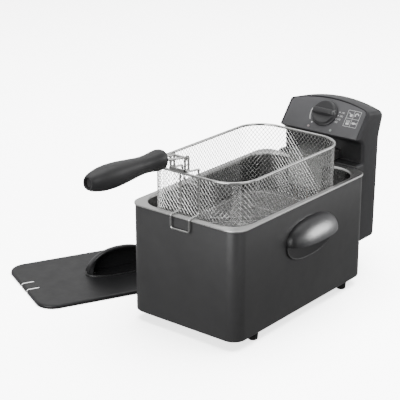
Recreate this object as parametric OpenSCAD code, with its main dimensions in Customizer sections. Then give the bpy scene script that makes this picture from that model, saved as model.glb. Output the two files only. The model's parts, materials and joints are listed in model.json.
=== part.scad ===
// Deep fryer: a sheet steel housing with a lift-out oil pan, a lift-off control unit that
// carries the heating element, a wire basket hooked on the front rim and a loose lid.
// The fryer faces -Y. The lid lies on the worktop at its left side.

/* [Housing] */
// Width of the housing
housing_w = 200; // [196:1:206]
// Length of the housing, front to rear
housing_l = 334; // [330:1:340]
// Height of the pan's rim above the worktop
rim_z = 187; // [184:1:190]
// Height of the rubber feet
foot_h = 15; // [13:1:17]
// Radius of the housing's upright corners
corner_r = 21; // [18:1:24]
// Thickness of the housing's sheet steel
sheet_t = 1; // [0.8:0.1:1.4]

/* [Oil pan] */
// Width of the flange, from the housing's side to the opening
flange_w = 8.5; // [8:0.5:10]
// Height of the pan's floor above the worktop
pan_floor_z = 25; // [22:1:30]
// Thickness of the pan's steel
pan_t = 0.8; // [0.8:0.1:1.2]

/* [Basket] */
// Width over the basket's rim wire
basket_w = 176; // [170:1:177]
// Length over the basket's rim wire
basket_l = 275; // [265:1:278]
// Depth of the basket
basket_h = 110; // [100:1:114]
// Height of the rim wire while the basket hangs on the pan
basket_z = 245; // [242:1:248]
// Length of the handle's grip
grip_l = 149; // [135:1:155]

/* [Control unit] */
// Width of the control unit
head_w = 152; // [146:1:158]
// Tilt of the control panel, from level
panel_tilt = 51.4; // [50:0.2:53]
// Diameter of the thermostat knob
knob_d = 45; // [40:1:48]

/* [Lid] */
// Width of the lid
lid_w = 182; // [178:1:186]
// Length of the lid
lid_l = 290; // [280:1:292]
// Turn of the lid on the worktop, from the fryer's own direction
lid_turn = 26; // [20:1:26]

/* [Hidden] */
$fn = 64;
eps = 0.01;

// Feet: distance from the sides, and from the front and rear ends
foot_in_x = 14;
foot_in_y = [58, 42];
base_t = 3;

// Vent slots in the base plate
vent_pitch = 14;
vent_w = 6;
vent_l = 60;

// Side grips
grip_r = 32;
grip_deep = 27;
grip_len = 122;
grip_y = 11;
grip_z = 129;
grip_boss_y = 36;
grip_boss_z = 4;
screw_d = 3;
hole_d = 3.2;
screw_head_d = 6;

// Guide rails on the housing's rear wall, for the control unit
rail_x = 50;
rail_w = 8;
rail_t = 3;
rail_z = 66;
rail_h = 100;

// Basket handle, as places in the fryer's upright middle plane
grip_from = [0, -207.5, 285.5];
grip_rise = 1.6;
arm_x = 9;
arm_d = 3.8;
arm_in_grip = 50;

// Lid on the worktop: lid_near is its corner nearest to the viewer
lid_corner_r = 28;
lid_near = [-219, -238];
lid_h = 6;
lid_sheet = 1;
slot_w = 4.5;
slot_l = 22;
lid_handle_at = 163;
lid_handle_l = 108;
lid_handle_h = 47;
lid_handle_deep = 30;
lid_handle_t = 4;
lid_boss = 42;
lid_foot_t = 2.5;
lid_screw_l = 3.2;
lid_across = [cos(lid_turn), -sin(lid_turn)];
lid_along = [sin(lid_turn), cos(lid_turn)];
lid_left = lid_near - lid_w * lid_across + lid_corner_r * (lid_across + lid_along);
head_rear_y = housing_l / 2 + 87;

// The origin is the centre of the footprint of everything as it stands on the worktop.
min_x = lid_left[0] - lid_corner_r;
max_x = housing_w / 2 + grip_deep;
min_y = grip_from[1] - grip_l;
max_y = head_rear_y;
origin = [(min_x + max_x) / 2, (min_y + max_y) / 2, 0];

// Pan
open_w = housing_w - 2 * flange_w;
flange_end = 10;
open_l = housing_l - 2 * flange_end;
open_r = 36;
rim_out = 1.5;
rim_drop = 2.5;
shell_top = rim_z - pan_t;

// Basket
wire_d = 4;
thin_d = 3;
basket_r = 44;
basket_y = -12.5;
basket_front = basket_y - basket_l / 2;
basket_floor = basket_z - basket_h;
mesh_t = 0.8;
pivot = [0, basket_front - 21, 279];
bracket_x = 13;
bracket_t = 1.5;
ear_w = 11;
ear_low = 258;
ear_top = pivot[2] + 4;
ear_slot_h = 14.3;
carrier_z = 260;
bracket_y = pivot[1] - ear_w / 2;
hook_x = 17;
hook_gap = 0.3;

// Control unit, as places along Y and Z
column_y = housing_l / 2 + 4.5;
column_z = 54;
recess_y = 192;
panel_y = 174;
panel_z = 231;
panel_l = 66;
arch_r = 246;
arch_top = 280;
head_top_z = 284;
head_back_z = 264;
top_slope = 8;
skin = 2.5;
fascia_t = 3;
fascia_w = head_w - 8;
fascia_gap = 0.2;
panel_arch = 62;
knob_up = 33;
knob_gap = 0.6;
knob_h = 14;
shaft_out = 7;
shaft_r = 3;
lamp_x = 21;
lamp_up = 7;
lamp_d = 6;
lamp_head_d = 4;
lamp_deep = 5;
rear_y = housing_l / 2 + 68;
kink_y = rear_y + 3;
kink_z = 224;
cover_in = 6;
cover_w = head_w - 2 * cover_in;
cover_z = column_z + cover_in + 2;
cover_h = rim_z - column_z - 14;
cover_gap = 0.1;
element_d = 7;
element_z = 60;
leg_y = 148;
leg_x = 22;
over_z = 196;
over_w = 64;
over_top = over_z + 6;
over_back = recess_y + 6;
bulb_from = 10;
bulb_to = 70;
bulb_z = element_z + 10;
bush_z = 84;
bush_d = 14;
reset_z = bush_z + 46;

module at_origin() { translate(-origin) children(); }

module rounded_rect(w, l, r) {
    square([w - 2 * r, l], center = true);
    square([w, l - 2 * r], center = true);
    for (x = [-1, 1], y = [-1, 1]) translate([x * (w / 2 - r), y * (l / 2 - r)]) circle(r);
}

module rounded_block(w, l, r, z0, z1) {
    translate([0, 0, z0]) linear_extrude(z1 - z0) rounded_rect(w, l, r);
}

// Upright tube between two outlines that share a centre
module rounded_tube(w, l, r, t, z0, z1) {
    difference() {
        rounded_block(w, l, r, z0, z1);
        rounded_block(w - 2 * t, l - 2 * t, r - t, z0 - eps, z1 + eps);
    }
}

// Straight round bar between two points
module bar(a, b, d) {
    v = b - a;
    translate(a) rotate([0, acos(v[2] / norm(v)), atan2(v[1], v[0])]) cylinder(d = d, h = norm(v));
}

// Bend in the XY plane, from angle a0 over sweep degrees
module bend(c, r, a0, sweep, d) {
    translate(c) rotate([0, 0, a0]) rotate_extrude(angle = sweep) translate([r, 0]) circle(d = d, $fn = 32);
}

// Closed level wire ring with rounded corners, w and l over the wire
module wire_ring(w, l, r, d, z) {
    hx = (w - d) / 2;
    hy = (l - d) / 2;
    for (s = [-1, 1]) {
        bar([s * hx, -(hy - r), z], [s * hx, hy - r, z], d);
        bar([-(hx - r), s * hy, z], [hx - r, s * hy, z], d);
    }
    for (k = [0:3]) {
        sx = (k == 0 || k == 3) ? 1 : -1;
        sy = (k < 2) ? 1 : -1;
        bend([sx * (hx - r), sy * (hy - r), z], r, 90 * k, 90, d);
    }
}

// Pan-head screw, head at the origin and shank along +Z
module screw(shank_d, shank_l, head_d, head_h) {
    translate([0, 0, -head_h]) cylinder(d = head_d, h = head_h);
    cylinder(d = shank_d, h = shank_l);
}

// ---------------- Housing ----------------
module housing_shell() {
    color([0.09, 0.09, 0.095])
    at_origin() difference() {
        rounded_tube(housing_w, housing_l, corner_r, sheet_t, foot_h, shell_top);
        for (y = [-1, 1]) translate([-housing_w, grip_y + y * grip_boss_y, grip_z + grip_boss_z])
            rotate([0, 90, 0]) cylinder(d = hole_d, h = 2 * housing_w);
    }
}

module base_plate() {
    inner_w = housing_w - 2 * sheet_t - 0.4;
    inner_l = housing_l - 2 * sheet_t - 0.4;
    color([0.08, 0.08, 0.08])
    at_origin() difference() {
        rounded_block(inner_w, inner_l, corner_r - sheet_t, foot_h, foot_h + base_t);
        for (k = [-3:3]) translate([k * vent_pitch - vent_w / 2, -vent_l / 2, foot_h - 1])
            cube([vent_w, vent_l, base_t + 2]);
        for (x = [-1, 1], k = [0, 1]) {
            translate([x * foot_x(), foot_y(k), foot_h - 1]) cylinder(d = hole_d + 0.2, h = base_t + 2);
        }
    }
}

function foot_x() = housing_w / 2 - foot_in_x;
function foot_y(k) = (k == 0) ? -housing_l / 2 + foot_in_y[0] : housing_l / 2 - foot_in_y[1];

module foot(side, k) {
    color([0.05, 0.05, 0.05])
    at_origin() translate([side * foot_x(), foot_y(k), 0]) difference() {
        rotate_extrude() polygon([[0, 0], [6.5, 0], [7.5, 1], [8.5, foot_h], [0, foot_h]]);
        translate([0, 0, foot_h - 9]) cylinder(d = screw_d, h = 10);
    }
}

module foot_front_left() { foot(-1, 0); }
module foot_front_right() { foot(1, 0); }
module foot_rear_left() { foot(-1, 1); }
module foot_rear_right() { foot(1, 1); }

module foot_screws() {
    color([0.7, 0.7, 0.7])
    at_origin() for (x = [-1, 1], k = [0, 1]) {
        translate([x * foot_x(), foot_y(k), foot_h + base_t]) rotate([180, 0, 0])
            screw(screw_d, 10, screw_head_d, 2);
    }
}

// Body of revolution with pointed ends along Y, r at its middle
module spindle(r, l) {
    arc_r = (l * l / 4 + r * r) / (2 * r);
    rotate([90, 0, 0]) rotate_extrude() intersection() {
        translate([r - arc_r, 0]) circle(arc_r, $fn = 128);
        translate([0, -l / 2]) square([r, l]);
    }
}

// Flat pointed oval in the XY plane, l along Y
module oval(r, l) {
    arc_r = (l * l / 4 + r * r) / (2 * r);
    intersection() {
        translate([r - arc_r, 0]) circle(arc_r, $fn = 128);
        translate([arc_r - r, 0]) circle(arc_r, $fn = 128);
    }
}

// Oval back plate with a hood over its upper half; the fingers go up behind the hood
module side_grip(side) {
    color([0.07, 0.07, 0.075])
    at_origin() translate([side * housing_w / 2, grip_y, grip_z]) rotate([0, 0, side > 0 ? 0 : 180]) {
        difference() {
            union() {
                rotate([0, 90, 0]) linear_extrude(skin) oval(grip_r, grip_len);
                intersection() {
                    difference() {
                        translate([grip_deep - grip_r, 0, 0]) spindle(grip_r, grip_len);
                        translate([grip_deep - grip_r, 0, 0]) spindle(grip_r - 3, grip_len - 9);
                    }
                    translate([0, -grip_len, 0]) cube([grip_len, 2 * grip_len, grip_len]);
                }
                for (s = [-1, 1]) translate([0, s * grip_boss_y, grip_boss_z])
                    rotate([0, 90, 0]) cylinder(d = 7, h = 10);
            }
            for (s = [-1, 1]) translate([-1, s * grip_boss_y, grip_boss_z])
                rotate([0, 90, 0]) cylinder(d = screw_d, h = 9);
        }
    }
}

module side_grip_left() { side_grip(-1); }
module side_grip_right() { side_grip(1); }

module grip_screws() {
    color([0.7, 0.7, 0.7])
    at_origin() for (side = [-1, 1], s = [-1, 1]) {
        translate([side * (housing_w / 2 - sheet_t), grip_y + s * grip_boss_y, grip_z + grip_boss_z])
            rotate([0, side * 90, 0]) screw(screw_d, 8, screw_head_d, 2);
    }
}

module guide_rails() {
    color([0.6, 0.6, 0.6])
    at_origin() for (s = [-1, 1]) {
        translate([s * rail_x - rail_w / 2, housing_l / 2, rail_z]) cube([rail_w, rail_t, rail_h]);
    }
}

// ---------------- Oil pan ----------------
module oil_pan() {
    out_w = housing_w + 2 * rim_out;
    out_l = housing_l + 2 * rim_out;
    out_r = corner_r + rim_out;
    color([0.75, 0.75, 0.74])
    at_origin() {
        difference() {
            rounded_block(out_w, out_l, out_r, rim_z - pan_t, rim_z);
            rounded_block(open_w, open_l, open_r, rim_z - 2, rim_z + 1);
        }
        rounded_tube(out_w, out_l, out_r, pan_t, rim_z - rim_drop, rim_z);
        difference() {
            rounded_block(open_w + 2 * pan_t, open_l + 2 * pan_t, open_r + pan_t, pan_floor_z, rim_z - eps);
            rounded_block(open_w, open_l, open_r, pan_floor_z + pan_t, rim_z + 1);
        }
    }
}

// ---------------- Control unit ----------------
module on_panel() { translate([0, panel_y, panel_z]) rotate([panel_tilt, 0, 0]) children(); }

// Everything under the arched top, shrunk by t all round
module under_arch(t) {
    intersection() {
        translate([-head_w / 2 + t, 0, 0]) cube([head_w - 2 * t, 400, 400]);
        translate([0, 212, arch_top - t]) rotate([-90 - top_slope, 0, 0])
            translate([0, arch_r, -90]) cylinder(r = arch_r, h = 180, $fn = 256);
    }
}

// Side view of the head and column, extruded over the width
module side_view(points, w) {
    translate([-w / 2, 0, 0]) rotate([90, 0, 90]) linear_extrude(w) polygon(points);
}

head_outline = [
    [column_y, column_z + 4], [column_y, rim_z + 2], [recess_y, rim_z + 2], [recess_y, 212],
    [190, 219], [186, 225], [180, 229], [panel_y, panel_z],
    [panel_y + panel_l * cos(panel_tilt), panel_z + panel_l * sin(panel_tilt)],
    [head_rear_y, head_top_z], [head_rear_y, head_back_z], [kink_y, kink_z], [rear_y, column_z + 5],
    [rear_y - 5, column_z], [column_y + 4, column_z]
];
cavity_outline = [
    [column_y + skin, column_z + skin + 2], [column_y + skin, rim_z - 0.5],
    [recess_y + skin, rim_z - 0.5], [recess_y + skin, 214], [188, 228], [panel_y + 8, panel_z + 3],
    [panel_y + 3 + panel_l * cos(panel_tilt), panel_z - 1 + panel_l * sin(panel_tilt)],
    [head_rear_y - skin, head_top_z], [head_rear_y - skin, head_back_z], [kink_y - skin, kink_z],
    [rear_y - skin, column_z + skin + 4], [rear_y - skin - 4, column_z + skin]
];

// Outline of the inset panel, x across and y up the slope, with a gap all round
module fascia_outline(gap) {
    intersection() {
        translate([-fascia_w / 2 + gap, gap]) square([fascia_w - 2 * gap, 80]);
        translate([0, panel_arch - arch_r]) circle(arch_r - gap, $fn = 256);
    }
}

// Rear wall's place along Y at a height
function wall_y(z) = rear_y + (kink_y - rear_y) * (z - column_z - 5) / (kink_z - column_z - 5);

screw_places = [[60, 200], [-60, 200], [60, 70], [-60, 70]];

module control_shell() {
    color([0.12, 0.12, 0.125])
    at_origin() difference() {
        intersection() {
            side_view(head_outline, head_w);
            under_arch(0);
        }
        intersection() {
            side_view(cavity_outline, head_w - 2 * skin);
            under_arch(skin);
        }
        on_panel() {
            translate([0, 0, -fascia_t]) linear_extrude(20) fascia_outline(0);
            translate([0, knob_up, -fascia_t - 4]) cylinder(r = 13, h = 5);
            for (s = [-1, 1]) translate([s * lamp_x, lamp_up, -fascia_t - lamp_deep - fascia_gap])
                cylinder(d = lamp_d + 2 * fascia_gap, h = lamp_deep + 1);
        }
        translate([-cover_w / 2, column_y - 1, cover_z]) cube([cover_w, 5, cover_h]);
        translate([-over_w / 2 - fascia_gap, recess_y - 1, rim_z + 2.5])
            cube([over_w + 2 * fascia_gap, 5, 16]);
        translate([0, rear_y - 8, bush_z]) rotate([-90, 0, 0]) cylinder(d = bush_d + 0.2, h = 20);
        translate([0, rear_y - 8, reset_z]) rotate([-90, 0, 0]) cylinder(d = 9, h = 20);
        for (p = screw_places) translate([p[0], rear_y - 8, p[1]]) rotate([-90, 0, 0])
            cylinder(d = hole_d, h = 20);
    }
}

module control_panel() {
    color([0.16, 0.16, 0.165])
    at_origin() on_panel() difference() {
        translate([0, 0, -fascia_t]) linear_extrude(fascia_t) fascia_outline(fascia_gap);
        translate([0, knob_up, -fascia_t - 1]) cylinder(r = 5, h = fascia_t + 2);
        for (s = [-1, 1]) translate([s * lamp_x, lamp_up, -fascia_t - 1])
            cylinder(d = lamp_head_d + 2 * fascia_gap, h = fascia_t + 2);
    }
}

module column_cover() {
    color([0.08, 0.08, 0.085])
    at_origin() translate([-cover_w / 2 + cover_gap, column_y, cover_z + cover_gap])
        cube([cover_w - 2 * cover_gap, skin, cover_h - 2 * cover_gap]);
}

module cover_screws() {
    color([0.6, 0.6, 0.6])
    at_origin() for (p = screw_places) {
        translate([p[0], wall_y(p[1]) + 0.1, p[1]]) rotate([90, 0, 0]) screw(screw_d, 9, screw_head_d, 1.5);
    }
}

// Cover plate over the rim, with a front apron inside the pan and a foot on each side
module element_bracket() {
    apron_y = leg_y - 7;
    apron_z = rim_z - 40;
    side = [[apron_y, rim_z], [column_y - 1, rim_z], [column_y - 1, rim_z + 3], [over_back, rim_z + 3],
        [over_back, over_top], [apron_y, over_top]];
    color([0.72, 0.72, 0.7])
    at_origin() {
        translate([-over_w / 2, apron_y, over_top]) cube([over_w, over_back - apron_y, bracket_t]);
        translate([-over_w / 2, apron_y, apron_z]) cube([over_w, bracket_t, over_top - apron_z]);
        for (s = [-1, 1]) translate([s * (over_w - bracket_t) / 2, 0, 0]) side_view(side, bracket_t);
    }
}

// Half of the tube: out of the column, down the pan's rear and forward, then back to the middle
module element_half() {
    run_x = 60;
    front_y = -102;
    back_y = 80;
    r = 8;
    bar([-leg_x, recess_y + 14, over_z], [-leg_x, leg_y + r, over_z], element_d);
    translate([-leg_x, 0, 0]) rotate([0, -90, 0])
        bend([over_z - r, leg_y + r, 0], r, 270, 90, element_d);
    bar([-leg_x, leg_y, over_z - r], [-leg_x, leg_y, element_z + r], element_d);
    translate([0, leg_y, 0]) rotate([90, 0, 0])
        bend([-leg_x - r, element_z + r, 0], r, 270, 90, element_d);
    bar([-leg_x - r, leg_y, element_z], [-run_x + r, leg_y, element_z], element_d);
    bend([-run_x + r, leg_y - r, element_z], r, 90, 90, element_d);
    bar([-run_x, leg_y - r, element_z], [-run_x, front_y, element_z], element_d);
    bend([-run_x * 3 / 4, front_y, element_z], run_x / 4, 180, 180, element_d);
    bar([-run_x / 2, front_y, element_z], [-run_x / 2, back_y, element_z], element_d);
    bend([0, back_y, element_z], run_x / 2, 90, 90, element_d);
}

module heating_element() {
    color([0.45, 0.42, 0.38])
    at_origin() {
        element_half();
        mirror([1, 0, 0]) element_half();
    }
}

// Body behind the panel, with its shaft through the panel's hole
module thermostat() {
    color([0.8, 0.75, 0.6])
    at_origin() on_panel() {
        translate([-16, knob_up - 13, -fascia_t - 20]) cube([32, 26, 18]);
        translate([0, knob_up, -fascia_t - 3]) cylinder(r = shaft_r, h = fascia_t + 3 + shaft_out);
        translate([-11, knob_up - 1.5, -fascia_t - 2]) cube([22, 3, 2]);
    }
}

module capillary_tube() {
    d = 2;
    r = 6;
    y = leg_y + 1;
    color([0.7, 0.45, 0.25])
    at_origin() {
        bar([0, bulb_to, bulb_z], [0, y - r, bulb_z], d);
        rotate([0, -90, 0]) bend([bulb_z + r, y - r, 0], r, 90, 90, d);
        bar([0, y, bulb_z + r], [0, y, over_z - r], d);
        rotate([0, -90, 0]) bend([over_z - r, y + r, 0], r, 270, 90, d);
        bar([0, y + r, over_z], [0, recess_y + 12, over_z], d);
        rotate([0, -90, 0]) bend([over_z + r, recess_y + 12, 0], r, 90, 90, d);
        bar([0, recess_y + 12 + r, over_z + r], [0, recess_y + 12 + r, panel_z - 1], d);
    }
}

module sensing_bulb() {
    color([0.7, 0.7, 0.7])
    at_origin() bar([0, bulb_from, bulb_z], [0, bulb_to, bulb_z], 6);
}

// Strip across the two middle runs of the element, with a block on it that holds the bulb
module bulb_clip() {
    strip_z = element_z + element_d / 2;
    color([0.65, 0.65, 0.65])
    at_origin() difference() {
        union() {
            translate([-36, 30, strip_z]) cube([72, 12, 1.2]);
            translate([-5, 30, strip_z]) cube([10, 12, bulb_z + 5 - strip_z]);
        }
        translate([0, 29, bulb_z]) rotate([-90, 0, 0]) cylinder(r = 3.05, h = 14);
    }
}

module lamp(side, shade) {
    color(shade)
    at_origin() on_panel() translate([side * lamp_x, lamp_up, -fascia_t - lamp_deep]) {
        cylinder(d = lamp_d, h = lamp_deep);
        cylinder(d = lamp_head_d, h = lamp_deep + fascia_t + 0.8);
    }
}
module power_lamp() { lamp(-1, [0.75, 0.1, 0.08]); }
module ready_lamp() { lamp(1, [0.1, 0.6, 0.2]); }

module safety_switch() {
    color([0.15, 0.15, 0.16])
    at_origin() {
        translate([34, column_y + skin, 120]) cube([12, 16, 28]);
        translate([38, column_y + skin + 16, 140]) cube([4, 3, 6]);
    }
}

module thermal_cutout() {
    color([0.2, 0.2, 0.22])
    at_origin() translate([0, rear_y - 22, reset_z]) rotate([-90, 0, 0]) cylinder(d = 18, h = 14);
}

module terminal_block() {
    color([0.9, 0.88, 0.8])
    at_origin() difference() {
        translate([-24, rear_y - 24, 98]) cube([48, 15, 14]);
        for (k = [-1, 0, 1]) translate([k * 15, rear_y - 18, 95]) cylinder(d = 4, h = 20);
    }
}

// Grommet in the rear wall, where a supply cord would enter
module cord_inlet_bush() {
    color([0.06, 0.06, 0.06])
    at_origin() translate([0, rear_y - 10, bush_z]) rotate([-90, 0, 0]) difference() {
        union() {
            cylinder(d = bush_d, h = 14);
            cylinder(d = bush_d + 4, h = 6);
            translate([0, 0, 11]) cylinder(d = bush_d + 4, h = 3);
        }
        translate([0, 0, -1]) cylinder(r = 3.7, h = 17);
    }
}

module thermostat_knob() {
    color([0.06, 0.06, 0.065])
    at_origin() on_panel() translate([0, knob_up, knob_gap]) difference() {
        union() {
            cylinder(d = knob_d, h = 3);
            cylinder(d = knob_d - 5, h = knob_h - 5);
            intersection() {
                cylinder(d = knob_d - 6, h = knob_h);
                translate([-knob_d / 2, -5, 0]) cube([knob_d, 10, knob_h]);
            }
        }
        translate([0, 0, -1]) cylinder(r = shaft_r + 0.05, h = shaft_out + 2);
    }
}

module reset_button() {
    color([0.75, 0.12, 0.1])
    at_origin() translate([0, rear_y - 8 + 2.3, reset_z]) rotate([-90, 0, 0]) cylinder(d = 8, h = 8);
}

// ---------------- Basket ----------------
module basket_mesh() {
    w = basket_w - wire_d;
    l = basket_l - wire_d;
    color([0.78, 0.78, 0.76])
    at_origin() translate([0, basket_y, 0]) difference() {
        rounded_block(w, l, basket_r, basket_floor, basket_z - wire_d / 2);
        rounded_block(w - 2 * mesh_t, l - 2 * mesh_t, basket_r - mesh_t, basket_floor + mesh_t, basket_z);
    }
}

module basket_rim() {
    color([0.8, 0.8, 0.78])
    at_origin() translate([0, basket_y, 0]) wire_ring(basket_w, basket_l, basket_r, wire_d, basket_z);
}

// Lower ring and two cross bars under the mesh
module basket_frame() {
    z = basket_floor - thin_d / 2;
    w = basket_w - 20;
    l = basket_l - 20;
    color([0.8, 0.8, 0.78])
    at_origin() translate([0, basket_y, 0]) {
        wire_ring(w, l, basket_r - 10, thin_d, z);
        for (s = [-1, 1]) bar([-(w - thin_d) / 2, s * 60, z], [(w - thin_d) / 2, s * 60, z], thin_d);
    }
}

// Two wires down the front of the mesh that turn out over the flange and down
module basket_hook() {
    r = 4;
    tip_r = 2.5;
    front = basket_front + wire_d / 2 - thin_d / 2;
    out = -housing_l / 2 - rim_out - 1 - thin_d / 2;
    level = rim_z + hook_gap + thin_d / 2;
    low = rim_z - 19;
    color([0.8, 0.8, 0.78])
    at_origin() {
        for (s = [-1, 1]) {
            bar([s * hook_x, front, basket_z - wire_d / 2], [s * hook_x, front, level + r], thin_d);
            translate([s * hook_x, 0, 0]) rotate([0, -90, 0])
                bend([level + r, front - r, 0], r, 90, 90, thin_d);
            bar([s * hook_x, front - r, level], [s * hook_x, out + tip_r, level], thin_d);
            translate([s * hook_x, 0, 0]) rotate([0, -90, 0])
                bend([level - tip_r, out + tip_r, 0], tip_r, 270, 90, thin_d);
            bar([s * hook_x, out, level - tip_r], [s * hook_x, out, low + r], thin_d);
            translate([0, out, 0]) rotate([90, 0, 0])
                bend([s * (hook_x - r), low + r, 0], r, s > 0 ? 270 : 180, 90, thin_d);
        }
        bar([-(hook_x - r), out, low], [hook_x - r, out, low], thin_d);
    }
}

// Folded plate in front of the rim: two slotted ears that carry the handle, on two bent wires
module handle_bracket() {
    slot_r = wire_d / 2 + 0.05;
    r = 4;
    x = bracket_x + bracket_t / 2 + thin_d / 2 - eps;
    inside = basket_front + wire_d + thin_d / 2;
    low = basket_z - 17;
    color([0.78, 0.78, 0.76])
    at_origin() {
        difference() {
            translate([0, bracket_y, ear_low]) {
                translate([-bracket_x, 0, 0]) cube([2 * bracket_x, bracket_t, 5]);
                for (s = [-1, 1]) translate([s * bracket_x - bracket_t / 2, 0, 0])
                    cube([bracket_t, ear_w, ear_top - ear_low]);
            }
            translate(pivot - [20, 0, 0]) rotate([0, 90, 0]) cylinder(r = slot_r, h = 40);
            translate(pivot - [20, 0, ear_slot_h]) rotate([0, 90, 0]) cylinder(r = slot_r, h = 40);
            translate(pivot - [20, slot_r, ear_slot_h]) cube([40, 2 * slot_r, ear_slot_h]);
        }
        for (s = [-1, 1]) {
            bar([s * x, bracket_y + 2, carrier_z], [s * x, inside - r, carrier_z], thin_d);
            translate([s * x, 0, 0]) rotate([0, -90, 0])
                bend([carrier_z - r, inside - r, 0], r, 0, 90, thin_d);
            bar([s * x, inside, carrier_z - r], [s * x, inside, low + r], thin_d);
            translate([0, inside, 0]) rotate([90, 0, 0])
                bend([s * (x - r), low + r, 0], r, s > 0 ? 270 : 180, 90, thin_d);
        }
        bar([-(x - r), inside, low], [x - r, inside, low], thin_d);
    }
}

// Bent wire that turns in the ears and runs into the grip as two arms
module handle_wire() {
    into_grip = [0, -cos(grip_rise), sin(grip_rise)];
    color([0.8, 0.8, 0.78])
    at_origin() {
        bar(pivot - [16, 0, 0], pivot + [16, 0, 0], wire_d);
        for (s = [-1, 1]) {
            side = [s * arm_x, 0, 0];
            bar(pivot + side, grip_from + side, arm_d);
            bar(grip_from + side - 1 * into_grip, grip_from + side + arm_in_grip * into_grip, arm_d - 0.4);
        }
    }
}

// Round grip with a waist, thick at both ends
module handle_grip() {
    color([0.08, 0.08, 0.085])
    at_origin() translate(grip_from) rotate([90 - grip_rise, 0, 0]) difference() {
        rotate_extrude() polygon([[0, 0], [11.5, 0], [14, 4], [14.8, 12], [13.8, 24], [12.6, 38], [12.8, 52],
            [14.6, 72], [16.6, 94], [17, 112], [16, 128], [13.6, 140], [9.5, grip_l], [0, grip_l]]);
        for (s = [-1, 1]) translate([s * arm_x, 0, -1]) cylinder(d = arm_d, h = arm_in_grip + 1);
    }
}

// ---------------- Lid ----------------
// Local frame: x across and y along the lid from the middle of its slotted edge
module on_lid() {
    mid = lid_near - lid_w / 2 * lid_across;
    translate([mid[0], mid[1], 0]) rotate([0, 0, -lid_turn]) children();
}

module lid_plate() {
    color([0.11, 0.11, 0.115])
    at_origin() on_lid() difference() {
        translate([0, lid_l / 2, 0]) rounded_block(lid_w, lid_l, lid_corner_r, 0, lid_h);
        translate([0, lid_l / 2, 0]) rounded_block(lid_w - 2 * lid_sheet, lid_l - 2 * lid_sheet,
            lid_corner_r - lid_sheet, -1, lid_h - lid_sheet);
        for (s = [-1, 1]) translate([s * bracket_x - slot_w / 2, -1, -1])
            cube([slot_w, slot_l + 1, lid_h + 2]);
        for (s = [-1, 1]) translate([0, lid_handle_at + s * lid_boss, -1]) cylinder(d = hole_d, h = lid_h + 2);
    }
}

// Arched block on the lid, h high and l long, from a depth and a height onwards
module hood(h, l, from_x, from_z) {
    translate([-lid_handle_deep / 2 + from_x, 0, 0]) rotate([90, 0, 90]) linear_extrude(lid_handle_deep)
        intersection() {
            rotate(90) oval(h, l);
            translate([-l, from_z]) square([2 * l, l]);
        }
}

// Oval foot with an arched hood on it, open towards the lid's right side
module lid_handle() {
    color([0.05, 0.05, 0.055])
    at_origin() on_lid() translate([0, lid_handle_at, lid_h]) difference() {
        union() {
            linear_extrude(lid_foot_t) oval(23, lid_handle_l + 8);
            hood(lid_handle_h, lid_handle_l, 0, 0);
        }
        hood(lid_handle_h - lid_handle_t, lid_handle_l - 2 * lid_handle_t - 8, lid_handle_t, lid_foot_t);
        for (s = [-1, 1]) translate([0, s * lid_boss, -1]) cylinder(d = screw_d, h = lid_screw_l);
    }
}

module lid_screws() {
    color([0.7, 0.7, 0.7])
    at_origin() on_lid() for (s = [-1, 1]) {
        translate([0, lid_handle_at + s * lid_boss, lid_h - lid_sheet])
            screw(screw_d, lid_screw_l, 7, 2);
    }
}

housing_shell();
base_plate();
foot_front_left();
foot_front_right();
foot_rear_left();
foot_rear_right();
foot_screws();
side_grip_left();
side_grip_right();
grip_screws();
guide_rails();
oil_pan();
control_shell();
control_panel();
column_cover();
cover_screws();
element_bracket();
heating_element();
thermostat();
capillary_tube();
sensing_bulb();
bulb_clip();
power_lamp();
ready_lamp();
safety_switch();
thermal_cutout();
terminal_block();
cord_inlet_bush();
thermostat_knob();
reset_button();
basket_mesh();
basket_rim();
basket_frame();
basket_hook();
handle_bracket();
handle_wire();
handle_grip();
lid_plate();
lid_handle();
lid_screws();
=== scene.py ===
"""Looks of the deep fryer: camera, light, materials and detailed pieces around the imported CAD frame."""
import json
import math

import bmesh
import bpy
from mathutils import Matrix, Vector


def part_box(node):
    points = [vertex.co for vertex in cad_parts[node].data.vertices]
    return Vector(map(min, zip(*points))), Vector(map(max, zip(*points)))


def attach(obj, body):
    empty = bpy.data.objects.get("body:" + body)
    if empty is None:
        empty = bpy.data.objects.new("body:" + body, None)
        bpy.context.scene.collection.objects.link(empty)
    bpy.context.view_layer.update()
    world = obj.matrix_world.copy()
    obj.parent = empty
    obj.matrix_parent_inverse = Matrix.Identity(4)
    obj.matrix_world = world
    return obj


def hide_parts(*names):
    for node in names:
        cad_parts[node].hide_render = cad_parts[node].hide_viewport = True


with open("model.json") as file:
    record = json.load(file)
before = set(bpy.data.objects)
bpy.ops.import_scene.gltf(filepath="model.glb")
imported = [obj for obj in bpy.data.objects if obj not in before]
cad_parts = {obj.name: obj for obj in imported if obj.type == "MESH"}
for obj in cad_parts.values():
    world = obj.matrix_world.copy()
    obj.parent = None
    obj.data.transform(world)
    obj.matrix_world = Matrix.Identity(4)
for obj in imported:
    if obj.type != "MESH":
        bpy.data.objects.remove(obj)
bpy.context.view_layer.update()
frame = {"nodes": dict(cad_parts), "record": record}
MM = 0.001

# The fryer's own centre on the worktop; every size below is in millimetres from there.
HOUSE_LO, HOUSE_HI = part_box("housing_shell")
CENTRE = (HOUSE_LO + HOUSE_HI) / 2


def at(x, y, z):
    """The frame's metres from the fryer's millimetres."""
    return Vector((CENTRE.x + x * MM, CENTRE.y + y * MM, z * MM))


def local_box(node):
    """The CAD node's box in the fryer's millimetres."""
    lo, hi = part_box(node)
    shift = Vector((CENTRE.x, CENTRE.y, 0))
    return (lo - shift) / MM, (hi - shift) / MM


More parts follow.
